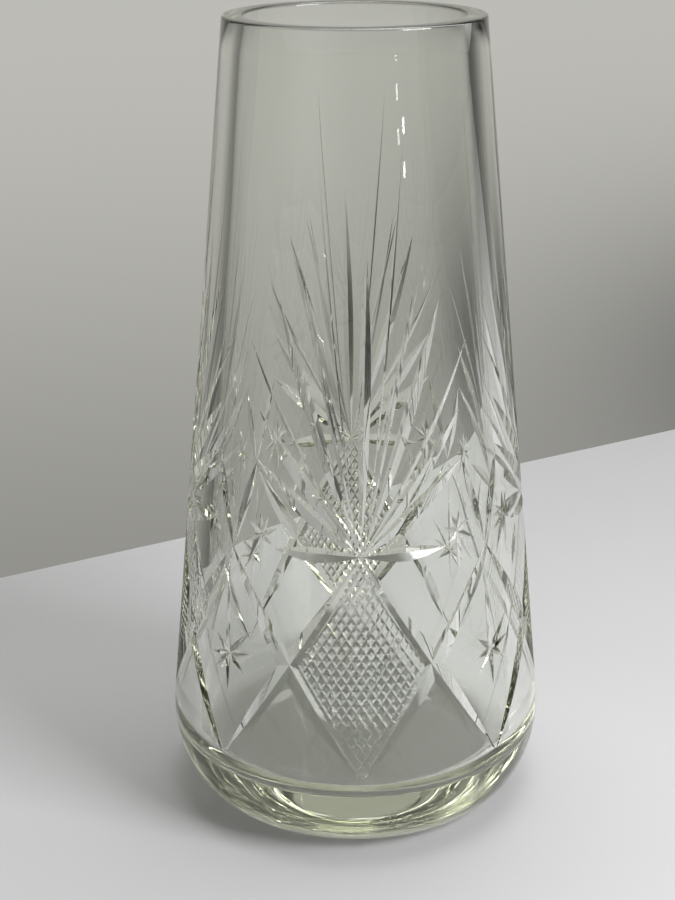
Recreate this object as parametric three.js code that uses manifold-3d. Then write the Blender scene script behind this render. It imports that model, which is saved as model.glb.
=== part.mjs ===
// Cut crystal vase: one thick-walled piece of clear lead glass with mitre cuts in its outer face.
// Millimetres, +Z up. The origin is at the centre of the flat foot, and the first cut motif faces -Y.

import * as THREE from 'three';
import { mergeVertices } from 'three/addons/utils/BufferGeometryUtils.js';
import Module from 'manifold-3d';

// --- Driving dimensions -------------------------------------------------------------------------

// The blank, which is the glass before it is cut.
const HEIGHT = 270;
const RIM_RADIUS = 42;
const WIDEST_RADIUS = 65;
const HEEL_TOP = 34; // the rounded heel runs from the foot up to this height
const FOOT_RADIUS = 46;
const HEEL_ROUNDNESS = 1.85; // 2 is a true ellipse, less is a softer corner
const RIM_WALL = 6.8;
const BASE_WALL = 9;
const FLOOR_THICKNESS = 20;
const FLOOR_CORNER_RADIUS = 12;
const RIM_BEVEL = 0.8;
const SIDES = 48;

// The cut pattern: four equal motifs round the vase, each one mirrored about its hub.
const MOTIFS = 4;
const MOTIF_ANGLE = 360 / MOTIFS;
const HUB_HEIGHT = 108.5;
const NET_TOP_HEIGHT = 106;
const NET_LOW_HEIGHT = 32;
const PEAK_HEIGHT = 137;
const PEAK_ANGLE = 36;
const STAR_HEIGHT = 70;
const STAR_REACH = 5.5; // degrees from a star's middle to the tip of its level rays

// The mitre wheel: its cut is a V that is this far open to each side of its centre plane.
const WHEEL_HALF_ANGLE = 58;
const NET_DEPTH = 1.7;
const LEAF_DEPTH = 1.4;
const LINK_DEPTH = 1;
const RAY_DEPTH = 0.9;
const FINE_RAY_DEPTH = 0.55;
const STAR_DEPTH = 0.7;
const CUTTER_CLEARANCE = 0.6; // how far each cutter stands out of the surface that it cuts
const CUTTER_STEP = 16; // longest stretch of a cutter between two sections

// --- The blank ----------------------------------------------------------------------------------

const TAPER = (WIDEST_RADIUS - RIM_RADIUS) / (HEIGHT - HEEL_TOP);
const INNER_RIM_RADIUS = RIM_RADIUS - RIM_WALL;
const INNER_TAPER = (TAPER * (HEIGHT - HEEL_TOP) - (BASE_WALL - RIM_WALL)) / (HEIGHT - HEEL_TOP);

// Outer radius at height z: a straight cone above the heel, a rounded quarter below it.
function outerRadius(z) {
  const cone = RIM_RADIUS + TAPER * (HEIGHT - z);
  const below = Math.max(0, 1 - z / HEEL_TOP);
  const pull = RIM_RADIUS + TAPER * HEIGHT - FOOT_RADIUS;
  return cone - pull * (1 - (1 - below ** HEEL_ROUNDNESS) ** (1 / HEEL_ROUNDNESS));
}

// Inner radius at height z: a straight cone above the floor, a rounded corner where they meet.
function innerRadius(z) {
  const cone = INNER_RIM_RADIUS + INNER_TAPER * (HEIGHT - z);
  const rise = Math.min(1, (z - FLOOR_THICKNESS) / FLOOR_CORNER_RADIUS);
  return cone - FLOOR_CORNER_RADIUS * (1 - Math.sqrt(1 - (1 - rise) ** 2));
}

function blankProfile() {
  const points = [new THREE.Vector2(0, 0), new THREE.Vector2(FOOT_RADIUS, 0)];
  const heelSteps = 6;
  for (let i = 1; i <= heelSteps; i += 1) {
    const z = HEEL_TOP * (1 - Math.cos((i / heelSteps) * Math.PI / 2));
    points.push(new THREE.Vector2(outerRadius(z), z));
  }
  const wallSteps = 3;
  for (let i = 1; i <= wallSteps; i += 1) {
    const z = HEEL_TOP + (HEIGHT - RIM_BEVEL - HEEL_TOP) * (i / wallSteps);
    points.push(new THREE.Vector2(outerRadius(z), z));
  }
  points.push(new THREE.Vector2(RIM_RADIUS - RIM_BEVEL, HEIGHT));
  points.push(new THREE.Vector2(INNER_RIM_RADIUS + RIM_BEVEL, HEIGHT));
  const innerSteps = 2;
  for (let i = 0; i <= innerSteps; i += 1) {
    const top = HEIGHT - RIM_BEVEL;
    const z = top - (top - FLOOR_THICKNESS - FLOOR_CORNER_RADIUS) * (i / innerSteps);
    points.push(new THREE.Vector2(innerRadius(z), z));
  }
  const cornerSteps = 5;
  for (let i = 1; i <= cornerSteps; i += 1) {
    const turn = (i / cornerSteps) * Math.PI / 2;
    const z = FLOOR_THICKNESS + FLOOR_CORNER_RADIUS * (1 - Math.sin(turn));
    points.push(new THREE.Vector2(innerRadius(z), z));
  }
  points.push(new THREE.Vector2(0, FLOOR_THICKNESS));
  return points;
}

// LatheGeometry turns its profile round +Y, so the blank is stood up onto +Z.
function blankGeometry() {
  const geometry = new THREE.LatheGeometry(blankProfile(), SIDES);
  geometry.rotateX(Math.PI / 2);
  return geometry;
}

// --- The cuts -----------------------------------------------------------------------------------

const radians = THREE.MathUtils.degToRad;

// The point of the blank's outer face at an angle (degrees from -Y towards +X) and a height.
function facePoint(angle, z) {
  const r = outerRadius(z);
  return new THREE.Vector3(r * Math.sin(radians(angle)), -r * Math.cos(radians(angle)), z);
}

function faceNormal(angle, z) {
  const step = 0.5;
  const slope = (outerRadius(z + step) - outerRadius(z - step)) / (2 * step);
  const normal = new THREE.Vector3(Math.sin(radians(angle)), -Math.cos(radians(angle)), -slope);
  return normal.normalize();
}

// How deep a cut is along its length, as a share of its full depth: 0 at a point, 1 where it is
// deepest. `deepest` says where along the cut that is.
function depthShare(t, deepest) {
  const u = t < deepest ? t / deepest : (1 - t) / (1 - deepest);
  return Math.sin(u * Math.PI / 2);
}

// A cut from one place on the outer face to another, each given as [angle, height].
// It is a three-sided bar whose lower edge follows the bottom of the V.
function cutterGeometry({ from, to, depth, deepest = 0.5 }) {
  const start = facePoint(...from);
  const end = facePoint(...to);
  const steps = Math.max(4, 2 * Math.ceil(start.distanceTo(end) / CUTTER_STEP / 2));
  const spread = Math.tan(radians(WHEEL_HALF_ANGLE));
  const positions = [];
  for (let i = 0; i <= steps; i += 1) {
    const t = i / steps;
    const angle = THREE.MathUtils.lerp(from[0], to[0], t);
    const z = THREE.MathUtils.lerp(from[1], to[1], t);
    const point = facePoint(angle, z);
    const normal = faceNormal(angle, z);
    const before = facePoint(angle - 0.01 * (to[0] - from[0]), z - 0.01 * (to[1] - from[1]));
    const along = point.clone().sub(before).normalize();
    const across = new THREE.Vector3().crossVectors(along, normal).normalize();
    const sunk = depth * depthShare(t, deepest) - CUTTER_CLEARANCE / 3;
    const half = (sunk + CUTTER_CLEARANCE) * spread;
    const crest = point.clone().addScaledVector(normal, CUTTER_CLEARANCE);
    positions.push(point.clone().addScaledVector(normal, -sunk));
    positions.push(crest.clone().addScaledVector(across, half));
    positions.push(crest.clone().addScaledVector(across, -half));
  }
  const index = [0, 1, 2];
  for (let i = 0; i < steps; i += 1) {
    for (let side = 0; side < 3; side += 1) {
      const a = 3 * i + side;
      const b = 3 * i + (side + 1) % 3;
      index.push(a, a + 3, b, b, a + 3, b + 3);
    }
  }
  const last = 3 * steps;
  index.push(last, last + 2, last + 1);
  const geometry = new THREE.BufferGeometry().setFromPoints(positions);
  geometry.setIndex(index);
  return geometry;
}

// Moves a cut round the vase by whole motifs and, with mirror -1, to the other side of the hub.
function placed(cut, turn, mirror) {
  return {
    ...cut,
    from: [turn + mirror * cut.from[0], cut.from[1]],
    to: [turn + mirror * cut.to[0], cut.to[1]],
  };
}

// The cuts of half a motif, from its hub at angle 0 to the middle between two hubs.
function halfMotifCuts() {
  const half = MOTIF_ANGLE / 2;
  const hub = [0, HUB_HEIGHT];
  const netTop = [half, NET_TOP_HEIGHT];
  const peak = [PEAK_ANGLE, PEAK_HEIGHT];
  return [
    // the net of diamonds
    { depth: NET_DEPTH, from: hub, to: [half, NET_LOW_HEIGHT] },
    { depth: NET_DEPTH, from: netTop, to: [0, NET_LOW_HEIGHT] },
    // the leaves of the hub, the line that closes them at the peak, and the short link below them
    { depth: LEAF_DEPTH, from: hub, to: [27.5, HUB_HEIGHT] },
    { depth: LEAF_DEPTH, from: hub, to: peak },
    { depth: LEAF_DEPTH, from: netTop, to: peak },
    { depth: LINK_DEPTH, from: [19, 107], to: [26.5, 85] },
    // the side rays of the fan
    { depth: RAY_DEPTH, deepest: 0.6, from: hub, to: [29.5, 189] },
    { depth: RAY_DEPTH, deepest: 0.6, from: hub, to: [36, 153] },
    { depth: FINE_RAY_DEPTH, deepest: 0.6, from: hub, to: [41, 175] },
    { depth: FINE_RAY_DEPTH, deepest: 0.6, from: hub, to: [20, 196] },
  ];
}

// The cuts that are made once in a motif: the tall middle ray of the fan, and the star that stands
// in the diamond between two hubs, with one tall upright and three short bars across it.
function middleCuts() {
  const half = MOTIF_ANGLE / 2;
  const star = { depth: STAR_DEPTH };
  const bar = (turn, rise) => ({
    ...star,
    from: [half - turn, STAR_HEIGHT - rise],
    to: [half + turn, STAR_HEIGHT + rise],
  });
  return [
    { depth: RAY_DEPTH, deepest: 0.6, from: [0, HUB_HEIGHT], to: [0, 203] },
    { ...star, from: [half, STAR_HEIGHT - 17], to: [half, STAR_HEIGHT + 28] },
    bar(STAR_REACH, 0),
    bar(STAR_REACH * 0.8, 6),
    bar(STAR_REACH * 0.8, -6),
  ];
}

function allCuts() {
  const cuts = [];
  for (let motif = 0; motif < MOTIFS; motif += 1) {
    const turn = motif * MOTIF_ANGLE;
    middleCuts().forEach((cut) => cuts.push(placed(cut, turn, 1)));
    halfMotifCuts().forEach((cut) => cuts.push(placed(cut, turn, 1), placed(cut, turn, -1)));
  }
  return cuts;
}

// --- Joining and cutting ------------------------------------------------------------------------

const wasm = await Module();
wasm.setup();

function solidFrom(geometry) {
  const bare = geometry.clone();
  bare.deleteAttribute('normal');
  bare.deleteAttribute('uv');
  const merged = mergeVertices(bare, 1e-4);
  const mesh = new wasm.Mesh({
    numProp: 3,
    vertProperties: new Float32Array(merged.attributes.position.array),
    triVerts: new Uint32Array(merged.index.array),
  });
  return new wasm.Manifold(mesh);
}

function geometryFrom(solid) {
  const mesh = solid.getMesh();
  const geometry = new THREE.BufferGeometry();
  geometry.setAttribute('position', new THREE.BufferAttribute(mesh.vertProperties, 3));
  geometry.setIndex(new THREE.BufferAttribute(mesh.triVerts, 1));
  geometry.computeVertexNormals();
  return geometry;
}

function cutVase() {
  let solid = solidFrom(blankGeometry());
  for (const cut of allCuts()) {
    solid = solid.subtract(solidFrom(cutterGeometry(cut)));
  }
  return geometryFrom(solid);
}

// --- The part -----------------------------------------------------------------------------------

const crystal = new THREE.MeshStandardMaterial({ color: 0xdfe4dc, roughness: 0.04, metalness: 0 });

const vaseBody = new THREE.Mesh(cutVase(), crystal);
vaseBody.name = 'vase_body';

const vase = new THREE.Group();
vase.name = 'cut_crystal_vase';
vase.add(vaseBody);

export default vase;
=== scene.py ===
"""A cut crystal vase: one thick-walled piece of clear glass with wheel-cut mitres in its face.

Metres, +Z up, the foot's centre at the origin. The first cut motif faces -Y.
The drawing's own sizes are millimetres, and MM turns them into metres.
"""
import math

import bpy
import numpy as np
from mathutils import Matrix, Vector


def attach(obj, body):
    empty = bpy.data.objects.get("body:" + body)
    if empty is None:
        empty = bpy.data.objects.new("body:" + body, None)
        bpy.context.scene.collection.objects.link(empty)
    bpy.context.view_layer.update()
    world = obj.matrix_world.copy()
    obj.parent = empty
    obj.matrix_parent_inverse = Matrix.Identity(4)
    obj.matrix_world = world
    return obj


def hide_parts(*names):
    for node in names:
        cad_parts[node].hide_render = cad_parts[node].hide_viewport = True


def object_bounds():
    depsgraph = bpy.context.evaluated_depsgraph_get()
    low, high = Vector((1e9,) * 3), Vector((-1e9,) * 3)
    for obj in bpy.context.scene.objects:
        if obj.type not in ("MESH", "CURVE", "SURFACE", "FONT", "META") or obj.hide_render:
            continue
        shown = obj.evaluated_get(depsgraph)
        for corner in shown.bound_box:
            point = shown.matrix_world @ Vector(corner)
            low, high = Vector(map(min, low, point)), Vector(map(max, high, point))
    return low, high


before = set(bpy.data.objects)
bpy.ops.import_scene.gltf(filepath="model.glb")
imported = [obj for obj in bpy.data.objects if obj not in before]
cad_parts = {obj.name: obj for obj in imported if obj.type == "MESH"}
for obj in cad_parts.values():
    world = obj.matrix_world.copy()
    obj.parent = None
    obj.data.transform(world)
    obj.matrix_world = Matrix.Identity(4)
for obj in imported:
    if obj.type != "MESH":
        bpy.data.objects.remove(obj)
cad_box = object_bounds()

MM = 0.001

# --- The blank: the glass before it is cut, in millimetres ---------------------------------------

HEIGHT = (cad_box[1].z - cad_box[0].z) / MM
SWELL = 0.17  # how far the glass still widens just below the heel's top
WIDEST = cad_box[1].x / MM - SWELL
RIM_RADIUS = 42.0
HEEL_TOP = 34.0
FOOT_RADIUS = 46.0
HEEL_ROUNDNESS = 1.85  # 2 is a true ellipse, less is a softer corner
RIM_WALL = 6.8
BASE_WALL = 9.0
FLOOR_THICKNESS = 20.0
FLOOR_CORNER = 12.0
RIM_ROUNDING = 0.9
SIDES = 192

# How many steps the section takes along each of its stretches.
FOOT_STEPS = 4
HEEL_STEPS = 30
WALL_STEPS = 30
LIP_STEPS = 6
BOWL_STEPS = 24
CORNER_STEPS = 14
FLOOR_STEPS = 5

QUARTER = math.pi / 2
TAPER = (WIDEST - RIM_RADIUS) / (HEIGHT - HEEL_TOP)
INNER_RIM = RIM_RADIUS - RIM_WALL
INNER_TAPER = TAPER - (BASE_WALL - RIM_WALL) / (HEIGHT - HEEL_TOP)


def outer_radius(z):
    """The outer face's radius at height z: a straight cone over a rounded heel."""
    below = max(0.0, 1 - z / HEEL_TOP)
    pull = RIM_RADIUS + TAPER * HEIGHT - FOOT_RADIUS
    tuck = 1 - (1 - below**HEEL_ROUNDNESS) ** (1 / HEEL_ROUNDNESS)
    return RIM_RADIUS + TAPER * (HEIGHT - z) - pull * tuck


def inner_radius(z):
    """The bowl's radius at height z: a straight cone with a rounded corner at its floor."""
    rise = min(1.0, max(0.0, (z - FLOOR_THICKNESS) / FLOOR_CORNER))
    tuck = 1 - math.sqrt(1 - (1 - rise) ** 2)
    return INNER_RIM + INNER_TAPER * (HEIGHT - z) - FLOOR_CORNER * tuck


def blank_section():
    """Half the blank's section as (radius, height), from the foot's middle to the bowl's."""
    points = [(FOOT_RADIUS * k / FOOT_STEPS, 0.0) for k in range(FOOT_STEPS)]
    for k in range(HEEL_STEPS + 1):
        z = HEEL_TOP * (1 - math.cos(k / HEEL_STEPS * QUARTER))
        points.append((outer_radius(z), z))
    top = HEIGHT - RIM_ROUNDING
    for k in range(1, WALL_STEPS + 1):
        z = HEEL_TOP + (top - HEEL_TOP) * k / WALL_STEPS
        points.append((outer_radius(z), z))
    for k in range(1, LIP_STEPS + 1):
        turn = k / LIP_STEPS * QUARTER
        pulled_in = RIM_ROUNDING * (1 - math.cos(turn))
        points.append((outer_radius(top) - pulled_in, top + RIM_ROUNDING * math.sin(turn)))
    for k in range(LIP_STEPS + 1):
        turn = k / LIP_STEPS * QUARTER
        pushed_out = RIM_ROUNDING * (1 - math.sin(turn))
        points.append((inner_radius(top) + pushed_out, top + RIM_ROUNDING * math.cos(turn)))
    floor_top = FLOOR_THICKNESS + FLOOR_CORNER
    for k in range(1, BOWL_STEPS + 1):
        z = top - (top - floor_top) * k / BOWL_STEPS
        points.append((inner_radius(z), z))
    for k in range(1, CORNER_STEPS + 1):
        z = FLOOR_THICKNESS + FLOOR_CORNER * (1 - math.sin(k / CORNER_STEPS * QUARTER))
        points.append((inner_radius(z), z))
    floor_radius = points[-1][0]
    for k in range(FLOOR_STEPS - 1, -1, -1):
        points.append((floor_radius * k / FLOOR_STEPS, FLOOR_THICKNESS))
    return points


# --- The cuts of one motif -----------------------------------------------------------------------

MOTIFS = 4
WHEEL_HALF_ANGLE = 59.0  # how far each side of the V leans from the wheel's own plane
STAND_OUT = 0.35  # how far the wheel stands out of the glass, as a share of its depth there

# A place is (degrees round from -Y towards +X, height).
HUB = (0.0, 108.5)
NET_SIDE = (22.6, 71.0)
NET_LOW = (0.0, 32.0)

# How deep the wheel goes, in millimetres.
NET_DEPTH = 1.85
LEAF_DEPTH = 1.5
LINK_DEPTH = 1.0
RAY_DEPTH = 1.2
BROAD_DEPTH = 1.4
FINE_DEPTH = 0.5
HAIR_DEPTH = 0.28
STAR_DEPTH = 0.75
HATCH_DEPTH = 0.5
HATCH_LINES = 14

# How finely a cut's path is stepped.
STEP_DEGREES = 1.6
STEP_LENGTH = 4.0
FEWEST_TAPERED_STEPS = 14
FEWEST_LEVEL_STEPS = 8

# How a cut runs in: a share of its full depth.
LEVEL_START = 0.35
LEVEL_RUN_IN = 8.0  # how fast a level groove gains depth along its length
TIP = 0.02

# How matt a cut is left. The stars, the fine rays and the hatching aren't polished afterwards.
POLISHED = 0.15
MATT = 1.0
UNPOLISHED_DEPTHS = (STAR_DEPTH, FINE_DEPTH, HATCH_DEPTH)


def star(middle, rays, depth):
    """Straight cuts through one middle. A ray is its two ends, measured from that middle."""
    angle, z = middle
    cuts = []
    for a0, z0, a1, z1 in rays:
        before, after = math.hypot(a0, z0), math.hypot(a1, z1)
        deepest = before / (before + after)
        cuts.append(((angle + a0, z + z0), (angle + a1, z + z1), depth, deepest))
    return cuts


def half_motif(side):
    """The cuts to the left (side -1) or right (side 1) of a hub."""

    def at(angle, z):
        return (side * angle, z)

    net = [
        (HUB, at(45, 32), NET_DEPTH, 0.5),
        (at(45, 106), at(0, 32), NET_DEPTH, 0.5),
    ]
    leaves = [
        (HUB, at(28.5, 109), LEAF_DEPTH, 0.5),
        (HUB, at(36, 137), LEAF_DEPTH, 0.5),
        (at(45, 106), at(36, 137), LINK_DEPTH, 0.5),
    ]
    fan = [
        (HUB, at(29.5, 189), RAY_DEPTH, 0.55),
        (HUB, at(36, 153), BROAD_DEPTH, 0.55),
        (HUB, at(41, 175), FINE_DEPTH, 0.6),
        (HUB, at(20, 196), FINE_DEPTH, 0.6),
        (at(4, 138), at(21.5, 195), FINE_DEPTH, 0.5),
        (at(2, 116), at(17, 241), HAIR_DEPTH, 0.6),
    ]
    small_star = [
        (-6.5 * side, 2.7, 6.2 * side, -3.9),
        (4.5 * side, 3.5, -4.5 * side, -3.0),
        (-2.9 * side, 6.0, 4.5 * side, -10.9),
        (0.0, 7.0, -1.0 * side, -14.5),
    ]
    return net + leaves + fan + star(at(33.9, 113), small_star, STAR_DEPTH)


def motif_cuts():
    """Each cut as (start, end, depth, where along it the cut is deepest)."""
    links = [
        ((19, 107.5), (26.7, 85), LINK_DEPTH, 0.5),
        ((-24.6, 105.8), (-29.5, 92.4), LINK_DEPTH, 0.5),
    ]
    middle_ray = [(HUB, (2.5, 203), RAY_DEPTH, 0.55)]
    star_between_hubs = [
        (-1.6, 30.5, 0.0, -14.0),
        (8.5, 1.0, -7.5, -3.0),
        (8.5, 9.0, -6.0, -8.0),
        (-6.0, 4.0, 7.0, -7.0),
    ]
    halves = half_motif(-1) + half_motif(1)
    return halves + links + middle_ray + star((45.5, 70), star_between_hubs, STAR_DEPTH)


def between(start, end, t):
    return (start[0] + (end[0] - start[0]) * t, start[1] + (end[1] - start[1]) * t)


def hatch_cuts():
    """Two crossing sets of level-bottomed grooves that fill the diamond below the hub."""
    cuts = []
    for side in (-1, 1):
        near, far = (-side * NET_SIDE[0], NET_SIDE[1]), (side * NET_SIDE[0], NET_SIDE[1])
        for k in range(1, HATCH_LINES + 1):
            t = k / (HATCH_LINES + 1)
            cuts.append((between(HUB, near, t), between(far, NET_LOW, t), HATCH_DEPTH, None))
    return cuts


def face_point(angle, z):
    turn = math.radians(angle)
    r = outer_radius(z)
    return Vector((r * math.sin(turn), -r * math.cos(turn), z))


def face_normal(angle, z):
    turn = math.radians(angle)
    slope = outer_radius(z + 0.5) - outer_radius(z - 0.5)  # over one millimetre
    return Vector((math.sin(turn), -math.cos(turn), -slope)).normalized()


def depth_share(t, deepest):
    """How deep a cut is at t along it, as a share of its full depth."""
    if deepest is None:  # a groove with a level bottom, which runs in quickly at both ends
        return min(1.0, LEVEL_START + LEVEL_RUN_IN * min(t, 1 - t))
    u = t / deepest if t < deepest else (1 - t) / (1 - deepest)
    return TIP + (1 - TIP) * math.sin(u * QUARTER)


def path_steps(start, end, deepest):
    """Enough steps to follow the curve of the glass and the cut's own taper."""
    fewest = FEWEST_LEVEL_STEPS if deepest is None else FEWEST_TAPERED_STEPS
    length = (face_point(*start) - face_point(*end)).length
    round_steps = math.ceil(abs(end[0] - start[0]) / STEP_DEGREES)
    return max(fewest, round_steps, math.ceil(length / STEP_LENGTH))


def wheel_paths(cuts):
    """The wheel's path along each cut, as edges that carry a depth and an outward direction."""
    points, edges, depths, outward, matt = [], [], [], [], []
    for start, end, depth, deepest in cuts:
        steps = path_steps(start, end, deepest)
        for k in range(steps + 1):
            place = between(start, end, k / steps)
            if k:
                edges.append((len(points) - 1, len(points)))
            points.append(face_point(*place) * MM)
            outward.append(face_normal(*place))
            depths.append(depth * MM * depth_share(k / steps, deepest))
            matt.append(MATT if depth in UNPOLISHED_DEPTHS else POLISHED)
    mesh = bpy.data.meshes.new("wheel_paths")
    mesh.from_pydata(points, edges, [])
    mesh.attributes.new("depth", "FLOAT", "POINT").data.foreach_set("value", depths)
    mesh.attributes.new("matt", "FLOAT", "POINT").data.foreach_set("value", matt)
    normals = mesh.attributes.new("outward", "FLOAT_VECTOR", "POINT")
    normals.data.foreach_set("vector", [c for v in outward for c in v])
    return mesh


# --- Node trees written as expressions -----------------------------------------------------------


class Wire:
    """A socket in a node tree, or the bare tree. A sum on wires adds the tree's Math nodes."""

    def __init__(self, tree, socket=None):
        self.tree = tree
        self.socket = socket

    def node(self, kind, settings=None, sockets=None, out=0):
        """Adds a node: its settings first, then its sockets. Gives the wire of its output."""
        made = self.tree.nodes.new(kind)
        for name, value in (settings or {}).items():
            setattr(made, name, value)
        for name, value in (sockets or {}).items():
            if isinstance(value, Wire):
                self.tree.links.new(value.socket, made.inputs[name])
            else:
                made.inputs[name].default_value = value
        return Wire(self.tree, made.outputs[out]) if made.outputs else None

    def outputs(self):
        """Every output of this wire's node, by name."""
        return {s.name: Wire(self.tree, s) for s in self.socket.node.outputs if s.name}

    def sum(self, operation, *values):
        return self.node("ShaderNodeMath", {"operation": operation}, dict(enumerate(values)))

    def __add__(self, other):
        return self.sum("ADD", self, other)

    def __radd__(self, other):
        return self.sum("ADD", other, self)

    def __sub__(self, other):
        return self.sum("SUBTRACT", self, other)

    def __rsub__(self, other):
        return self.sum("SUBTRACT", other, self)

    def __mul__(self, other):
        return self.sum("MULTIPLY", self, other)

    def __rmul__(self, other):
        return self.sum("MULTIPLY", other, self)

    def __truediv__(self, other):
        return self.sum("DIVIDE", self, other)

    def __rtruediv__(self, other):
        return self.sum("DIVIDE", other, self)

    def __pow__(self, other):
        return self.sum("POWER", self, other)


def empty_bench(owner):
    """The emptied node tree of a material or a world."""
    owner.use_nodes = True
    owner.node_tree.nodes.clear()
    return Wire(owner.node_tree)


# --- Turning and cutting the vase ----------------------------------------------------------------

HOOP = 10 * MM  # the section is carried round a hoop of this radius
WELD = 1e-7  # points of the poles nearer than this are one


def turned_blank(bench, given):
    """The section, carried once round the axis and closed at both of its poles."""
    section = bench.node("GeometryNodeMeshToCurve", {}, {"Mesh": given["Section"]})
    hoop = bench.node(
        "GeometryNodeCurvePrimitiveCircle", {"mode": "RADIUS"},
        {"Resolution": given["Sides"], "Radius": HOOP},
    )
    level = bench.node("GeometryNodeSetCurveNormal", {"mode": "Z_UP"}, {"Curve": hoop})
    turned = bench.node("GeometryNodeCurveToMesh", {}, {"Curve": level, "Profile Curve": section})
    faced = bench.node("GeometryNodeFlipFaces", {}, {"Mesh": turned})
    return bench.node("GeometryNodeMergeByDistance", {}, {"Geometry": faced, "Distance": WELD})


def wheel_edge(bench, given):
    """The wheel's V for a cut of unit depth: its tip in the glass, its two sides outside."""
    half = bench.sum("RADIANS", given["Wheel half angle"])
    spread = bench.sum("TANGENT", half)
    reach = (given["Stand-out"] + 1) * spread
    tip, right, left = (
        bench.node("ShaderNodeCombineXYZ", {}, {"X": x, "Y": y})
        for x, y in ((-1.0, 0.0), (given["Stand-out"], reach), (given["Stand-out"], reach * -1))
    )
    ring = bench.node(
        "GeometryNodeCurvePrimitiveCircle", {"mode": "RADIUS"}, {"Resolution": 3, "Radius": 1.0}
    )
    index = bench.node("GeometryNodeInputIndex")
    equal = {"data_type": "INT", "operation": "EQUAL"}
    is_right = bench.node("FunctionNodeCompare", equal, {2: index, 3: 1})
    is_left = bench.node("FunctionNodeCompare", equal, {2: index, 3: 2})
    pick = {"input_type": "VECTOR"}
    first_two = bench.node("GeometryNodeSwitch", pick, {0: is_right, 1: tip, 2: right})
    corner = bench.node("GeometryNodeSwitch", pick, {0: is_left, 1: first_two, 2: left})
    return bench.node("GeometryNodeSetPosition", {}, {"Geometry": ring, "Position": corner})


def cutter_bars(bench, given):
    """One three-sided bar along each wheel path, as deep as the path says at each point."""
    paths = bench.node("GeometryNodeObjectInfo", {}, {"Object": given["Wheel paths"]}, "Geometry")
    lines = bench.node("GeometryNodeMeshToCurve", {}, {"Mesh": paths})

    def carried(name, data_type):
        kind = "GeometryNodeInputNamedAttribute"
        return bench.node(kind, {"data_type": data_type}, {"Name": name})

    upright = bench.node(
        "GeometryNodeSetCurveNormal", {"mode": "FREE"},
        {"Curve": lines, "Normal": carried("outward", "FLOAT_VECTOR")},
    )
    bars = bench.node(
        "GeometryNodeCurveToMesh", {},
        {
            "Curve": upright,
            "Profile Curve": wheel_edge(bench, given),
            "Scale": carried("depth", "FLOAT"),
            "Fill Caps": True,
        },
    )
    outside = bench.node("GeometryNodeFlipFaces", {}, {"Mesh": bars})
    return bench.node(
        "GeometryNodeStoreNamedAttribute", {"data_type": "FLOAT", "domain": "FACE"},
        {"Geometry": outside, "Name": "ground", "Value": carried("matt", "FLOAT")},
    )


def vase_tree():
    """Turns the blank, repeats a motif's cutters round it and takes them out of the glass."""
    tree = bpy.data.node_groups.new("turn_and_cut", "GeometryNodeTree")
    new_socket = tree.interface.new_socket
    for name, kind in (
        ("Section", "Geometry"),
        ("Wheel paths", "Object"),
        ("Sides", "Int"),
        ("Motifs", "Int"),
        ("Wheel half angle", "Float"),
        ("Stand-out", "Float"),
        ("Glass", "Material"),
    ):
        new_socket(name=name, in_out="INPUT", socket_type="NodeSocket" + kind)
    new_socket(name="Vase", in_out="OUTPUT", socket_type="NodeSocketGeometry")
    bench = Wire(tree)
    given = bench.node("NodeGroupInput").outputs()

    blank = turned_blank(bench, given)
    bars = cutter_bars(bench, given)
    spots = bench.node("GeometryNodePoints", {}, {"Count": given["Motifs"]})
    turn = bench.node("GeometryNodeInputIndex") * math.tau / given["Motifs"]
    turns = bench.node("ShaderNodeCombineXYZ", {}, {"Z": turn})
    placed = bench.node(
        "GeometryNodeInstanceOnPoints", {},
        {"Points": spots, "Instance": bars, "Rotation": turns},
    )
    all_bars = bench.node("GeometryNodeRealizeInstances", {}, {"Geometry": placed})
    single = bench.node(
        "GeometryNodeSplitToInstances", {"domain": "FACE"},
        {"Geometry": all_bars, "Group ID": bench.node("GeometryNodeInputMeshIsland")},
    )
    cut = bench.node(
        "GeometryNodeMeshBoolean", {"operation": "DIFFERENCE", "solver": "MANIFOLD"},
        {"Mesh 1": blank, "Mesh 2": single},
    )
    real = bench.node("GeometryNodeRealizeInstances", {}, {"Geometry": cut})
    finished = bench.node(
        "GeometryNodeSetMaterial", {}, {"Geometry": real, "Material": given["Glass"]}
    )
    bench.node("NodeGroupOutput", {}, {"Vase": finished})
    return tree


def section_mesh():
    """The section laid flat for its turn round the hoop: outward along +X, up along -Y."""
    points = blank_section()
    mesh = bpy.data.meshes.new("section")
    mesh.from_pydata(
        [(r * MM - HOOP, -z * MM, 0) for r, z in points],
        [(k, k + 1) for k in range(len(points) - 1)],
        [],
    )
    return mesh


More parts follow.
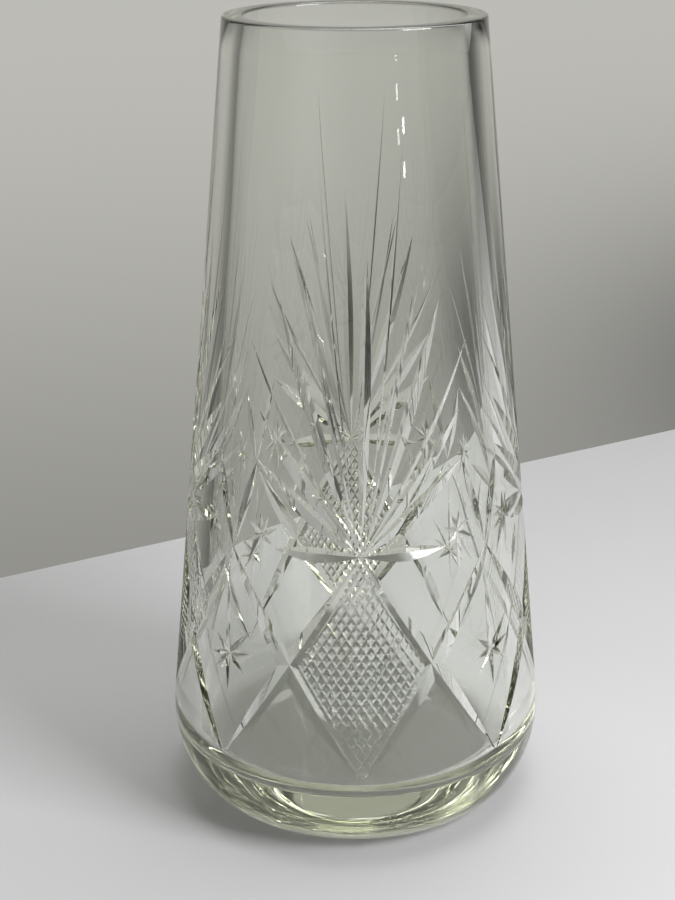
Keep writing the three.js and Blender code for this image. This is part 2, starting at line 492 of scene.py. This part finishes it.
def cut_vase(glass):
    """The finished vase as one plain mesh."""
    blank = bpy.data.objects.new("section", section_mesh())
    paths = bpy.data.objects.new("wheel_paths", wheel_paths(motif_cuts() + hatch_cuts()))
    for o in (blank, paths):
        bpy.context.scene.collection.objects.link(o)
    tree = vase_tree()
    modifier = blank.modifiers.new("turn_and_cut", "NODES")
    modifier.node_group = tree
    ids = {s.name: s.identifier for s in tree.interface.items_tree if s.in_out == "INPUT"}
    for name, value in (
        ("Wheel paths", paths),
        ("Sides", SIDES),
        ("Motifs", MOTIFS),
        ("Wheel half angle", WHEEL_HALF_ANGLE),
        ("Stand-out", STAND_OUT),
        ("Glass", glass),
    ):
        modifier[ids[name]] = value
    evaluated = blank.evaluated_get(bpy.context.evaluated_depsgraph_get())
    mesh = bpy.data.meshes.new_from_object(evaluated)
    blank.modifiers.clear()
    for o in (blank, paths):
        bpy.data.objects.remove(o)
    mesh.materials.clear()
    mesh.materials.append(glass)
    mesh.polygons.foreach_set("material_index", [0] * len(mesh.polygons))
    set_shading(mesh)
    vase = bpy.data.objects.new("cut_crystal_vase", mesh)
    bpy.context.scene.collection.objects.link(vase)
    return vase


# --- Smooth shading on the turned faces, crisp flanks in the cuts --------------------------------

SAME_SURFACE = 0.9  # least cosine between a face and the turned surface that it is part of
SAME_FLANK = math.cos(math.radians(14))  # least cosine between two facets of one flank
NEAR_AXIS = 1e-6
ALMOST_EQUAL = 1e-9


def values_of(items, name, width=1, kind=float):
    """One property of all the items of a mesh, as an array with a row for each."""
    values = np.empty(len(items) * width, kind)
    items.foreach_get(name, values)
    return values.reshape(-1, width) if width > 1 else values


def unit(rows):
    return rows / np.linalg.norm(rows, axis=1)[:, None]


def share_along(places, start, end):
    """How far each place lies along the line from start to end, from 0 to 1."""
    line = end - start
    return np.clip((places - start) @ line / (line @ line), 0, 1)[:, None]


def section_normals(corners, middles):
    """The turned surface's (outward, up) directions at corners given as (radius, height).

    Each corner takes the stretch of the section that lies nearest to the middle of its face.
    """
    section = np.array(blank_section())
    steps = np.diff(section, axis=0)
    square_to = unit(np.stack([steps[:, 1], -steps[:, 0]], 1))
    bends = unit(np.vstack([square_to[:1], square_to[:-1] + square_to[1:], square_to[-1:]]))
    nearest = np.full(len(corners), np.inf)
    normals = np.zeros((len(corners), 2))
    for start, end, first, last in zip(section, section[1:], bends, bends[1:]):
        foot = start + share_along(middles, start, end) * (end - start)
        gap = np.linalg.norm(middles - foot, axis=1)
        better = gap < nearest - ALMOST_EQUAL
        nearest[better] = gap[better]
        t = share_along(corners[better], start, end)
        normals[better] = first * (1 - t) + last * t
    return normals


def set_shading(mesh):
    """Gives the turned faces the normals of their own curve, and keeps each cut's flanks crisp."""
    mesh.shade_smooth()
    points = values_of(mesh.vertices, "co", 3) / MM
    corner_point = values_of(mesh.loops, "vertex_index", kind=int)
    face_normals = values_of(mesh.polygons, "normal", 3)
    corner_counts = values_of(mesh.polygons, "loop_total", kind=int)
    corner_face = np.repeat(np.arange(len(mesh.polygons)), corner_counts)
    in_cut = values_of(mesh.attributes["ground"].data, "value")[corner_face] >= POLISHED / 2
    normals = face_normals[corner_face]

    heights = np.stack([np.hypot(points[:, 0], points[:, 1]), points[:, 2]], 1)[corner_point]
    middles = np.zeros((len(mesh.polygons), 2))
    np.add.at(middles, corner_face, heights)
    middles /= corner_counts[:, None]
    turned = np.flatnonzero(~in_cut)
    outward_up = section_normals(heights[turned], middles[corner_face[turned]])
    around = points[corner_point[turned], :2] / np.maximum(heights[turned, :1], NEAR_AXIS)
    smooth = unit(np.hstack([around * outward_up[:, :1], outward_up[:, 1:]]))
    agree = (smooth * normals[turned]).sum(1) > SAME_SURFACE
    normals[turned[agree]] = smooth[agree]

    # Corners of a cut's flank share a normal with the flank's next facets, not across its edges.
    areas = values_of(mesh.polygons, "area")
    flanks = np.flatnonzero(in_cut)
    flanks = flanks[np.argsort(corner_point[flanks], kind="stable")]
    next_point = np.flatnonzero(np.diff(corner_point[flanks])) + 1
    for group in np.split(flanks, next_point):
        facets = face_normals[corner_face[group]]
        same_flank = facets @ facets.T > SAME_FLANK
        normals[group] = unit((same_flank * areas[corner_face[group]]) @ facets)
    mesh.normals_split_custom_set(normals)


# --- Crystal -------------------------------------------------------------------------------------

GRIT_HEIGHT = 0.02  # ground glass's grain, as a share of the drawn waves' height
POLISHED_ROUGHNESS = 0.005
GROUND_ROUGHNESS = 0.05


def crystal():
    """Clear lead glass: faintly yellow-green, wavy where it is turned, duller where it is cut."""
    material = bpy.data.materials.new("cut_crystal")
    bench = empty_bench(material)
    place = bench.node("ShaderNodeTexCoord", out="Object")
    ground = bench.node("ShaderNodeAttribute", {"attribute_name": "ground"}, out="Fac")
    drawn = bench.node("ShaderNodeMapping", {}, {"Vector": place, "Scale": (30.0, 30.0, 6.0)})
    waves = bench.node("ShaderNodeTexNoise", {}, {"Vector": drawn, "Scale": 1.0, "Detail": 2.0})
    grit = bench.node("ShaderNodeTexNoise", {}, {"Vector": place, "Scale": 1500.0, "Detail": 2.0})
    height = waves * (1 - ground) + grit * ground * GRIT_HEIGHT
    relief = {"Strength": 0.12, "Distance": 0.002, "Height": height}
    roughness = POLISHED_ROUGHNESS + ground * (GROUND_ROUGHNESS + GROUND_ROUGHNESS * grit)
    surface = bench.node(
        "ShaderNodeBsdfPrincipled", {},
        {
            "Base Color": (0.975, 0.985, 0.965, 1.0),
            "Roughness": roughness,
            "IOR": 1.54,
            "Transmission Weight": 1.0,
            "Normal": bench.node("ShaderNodeBump", {}, relief),
        },
    )
    body = bench.node(
        "ShaderNodeVolumeAbsorption", {}, {"Color": (0.85, 0.86, 0.785, 1.0), "Density": 18.0}
    )
    bench.node("ShaderNodeOutputMaterial", {}, {"Surface": surface, "Volume": body})
    return material


vase = cut_vase(crystal())
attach(vase, "root")
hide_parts("vase_body")

# --- Table, light and camera, in metres ----------------------------------------------------------

GAP = 0.3 * MM  # air under the foot, so that the table shows through the base
TABLE_REACH = 2.5  # to the left and to the right
TABLE_FRONT = -3.0
TABLE_BACK = 0.259  # where its back edge crosses the middle
TABLE_SLANT = 0.549  # how far back that edge goes for each metre to the right
TABLE_COLOUR = (0.76, 0.76, 0.78)
TABLE_FLECK = 0.05

DAYLIGHT = (1.01, 1.0, 0.935)
# A soft patch of painted shade in the world's light, where the wall lies in shadow low on the far
# right.
SHADE_PATCH_PLACE = (0.39, -0.29)  # across and up, as the world's light counts directions
SHADE_PATCH_SIZE = (0.19, 0.085)
SHADE_PATCH_DARKNESS = 0.97

# Each lamp: where it stands, what it is aimed at, its width and height, and its power in watts.
LAMPS = {
    "key": ((0.54, -0.42, 0.54), (0, 0, 0.03), (0.36, 0.36), 4.8),
    "overhead": ((0.15, 0.1, 1.4), (0, 0, 0), (0.8, 0.8), 6.5),
    "upper_lamp": ((0.62, -0.84, 0.256), (0, 0, 0.24), (0.03, 0.014), 0.022),
    "lower_lamp": ((0.62, -0.84, 0.218), (0, 0, 0.24), (0.03, 0.014), 0.022),
}

CAMERA_LENS = 70.09  # millimetres
CAMERA_SENSOR = 36.0
CAMERA_NEAR, CAMERA_FAR = 0.01, 50
CAMERA_AWAY = 0.5652
CAMERA_HEIGHT = 0.3309
CAMERA_ROUND = -1.8  # degrees round from -Y towards +X
CAMERA_ASIDE = 0.614  # degrees that it looks to the left of the vase
CAMERA_DOWN = 20.15  # degrees below the level
CAMERA_ROLL = -0.28


def pale_table():
    """Matt pale cover with a faint mottle."""
    material = bpy.data.materials.new("pale_table")
    bench = empty_bench(material)
    place = bench.node("ShaderNodeTexCoord", out="Object")
    mottle = bench.node("ShaderNodeTexNoise", {}, {"Vector": place, "Scale": 9.0, "Detail": 3.0})
    tint = bench.node(
        "ShaderNodeVectorMath", {"operation": "SCALE"},
        {0: TABLE_COLOUR, "Scale": 1 - TABLE_FLECK * mottle},
    )
    cover = bench.node("ShaderNodeBsdfPrincipled", {}, {"Base Color": tint, "Roughness": 0.75})
    bench.node("ShaderNodeOutputMaterial", {}, {"Surface": cover})
    return material


def table_top():
    """The plain pale floor; its back edge runs slantwise behind the vase."""
    mesh = bpy.data.meshes.new("table_top")
    front = [(x, TABLE_FRONT, -GAP) for x in (-TABLE_REACH, TABLE_REACH)]
    back = [(x, TABLE_BACK + TABLE_SLANT * x, -GAP) for x in (TABLE_REACH, -TABLE_REACH)]
    mesh.from_pydata(front + back, [], [(0, 1, 2, 3)])
    mesh.materials.append(pale_table())
    table = bpy.data.objects.new("table_top", mesh)
    bpy.context.scene.collection.objects.link(table)


def softbox(name, place, aim, size, power):
    """A lamp with a flat rectangular face, aimed at a point."""
    data = bpy.data.lights.new(name, "AREA")
    data.shape = "RECTANGLE"
    data.size, data.size_y = size
    data.energy = power
    lamp = bpy.data.objects.new(name, data)
    bpy.context.scene.collection.objects.link(lamp)
    lamp.location = place
    lamp.rotation_euler = (Vector(aim) - Vector(place)).to_track_quat("-Z", "Y").to_euler()


def studio_walls():
    """Plain pale walls all round, as the world's own light, for each direction looked in.

    They are lighter high up on the far side, dimmer near the table and behind the viewer,
    and a soft patch of painted shade lies low on the far right, where the wall is in shadow.
    """
    world = bpy.data.worlds.new("studio_walls")
    bench = empty_bench(world)
    way = bench.node("ShaderNodeTexCoord", out="Generated")
    x, y, z = bench.node("ShaderNodeSeparateXYZ", {}, {"Vector": way}).outputs().values()

    def fade(value, start, end, before, after):
        sockets = dict(enumerate((value, start, end, before, after)))
        return bench.node("ShaderNodeMapRange", {"interpolation_type": "SMOOTHSTEP"}, sockets)

    by_height = fade(z, -0.46, -0.10, 0.27, 0.50)
    by_depth = fade(y, -0.5, 0.7, 0.28, 1.0)
    at_both_sides = fade(bench.sum("ABSOLUTE", x), 0.45, 0.8, 1.0, 0.35)
    at_right = fade(x, 0.5, 0.8, 1.0, 0.5)
    across = (x - SHADE_PATCH_PLACE[0]) / SHADE_PATCH_SIZE[0]
    up = (z - SHADE_PATCH_PLACE[1]) / SHADE_PATCH_SIZE[1]
    far_side = fade(y, -0.1, 0.3, 0.0, 1.0)
    # Painted shade: the world's light is darkened in a soft patch low on the far right, where the
    # wall is in shadow.
    shade_patch = bench.sum("EXPONENT", (across**2.0 + up**2.0) * -1) * far_side
    level = by_height * by_depth * at_both_sides * at_right * (1 - SHADE_PATCH_DARKNESS * shade_patch)
    tint = bench.node(
        "ShaderNodeVectorMath", {"operation": "SCALE"}, {0: DAYLIGHT, "Scale": level}
    )
    shine = bench.node("ShaderNodeBackground", {}, {"Color": tint, "Strength": 1.0})
    bench.node("ShaderNodeOutputWorld", {}, {"Surface": shine})
    bpy.context.scene.world = world


def turned_by(degrees, axis):
    return Matrix.Rotation(math.radians(degrees), 4, axis)


def viewing_camera():
    """In front of the first motif, a little above the rim and looking down."""
    data = bpy.data.cameras.new("camera")
    data.lens = CAMERA_LENS
    data.sensor_width = CAMERA_SENSOR
    data.clip_start, data.clip_end = CAMERA_NEAR, CAMERA_FAR
    data.dof.use_dof = False
    camera = bpy.data.objects.new("camera", data)
    bpy.context.scene.collection.objects.link(camera)
    place = turned_by(CAMERA_ROUND, "Z") @ Vector((0, -CAMERA_AWAY, CAMERA_HEIGHT))
    heading = turned_by(CAMERA_ROUND + CAMERA_ASIDE, "Z")
    tilt = turned_by(90 - CAMERA_DOWN, "X")
    camera.matrix_world = Matrix.Translation(place) @ heading @ tilt @ turned_by(CAMERA_ROLL, "Z")
    bpy.context.scene.camera = camera


table_top()
studio_walls()
for name, lamp in LAMPS.items():
    softbox(name, *lamp)
viewing_camera()

scene = bpy.context.scene
scene.view_settings.view_transform = "Standard"
scene.cycles.max_bounces = 24
scene.cycles.transmission_bounces = 24
scene.cycles.glossy_bounces = 12
scene.cycles.transparent_max_bounces = 24
scene.cycles.caustics_refractive = True
scene.cycles.caustics_reflective = True
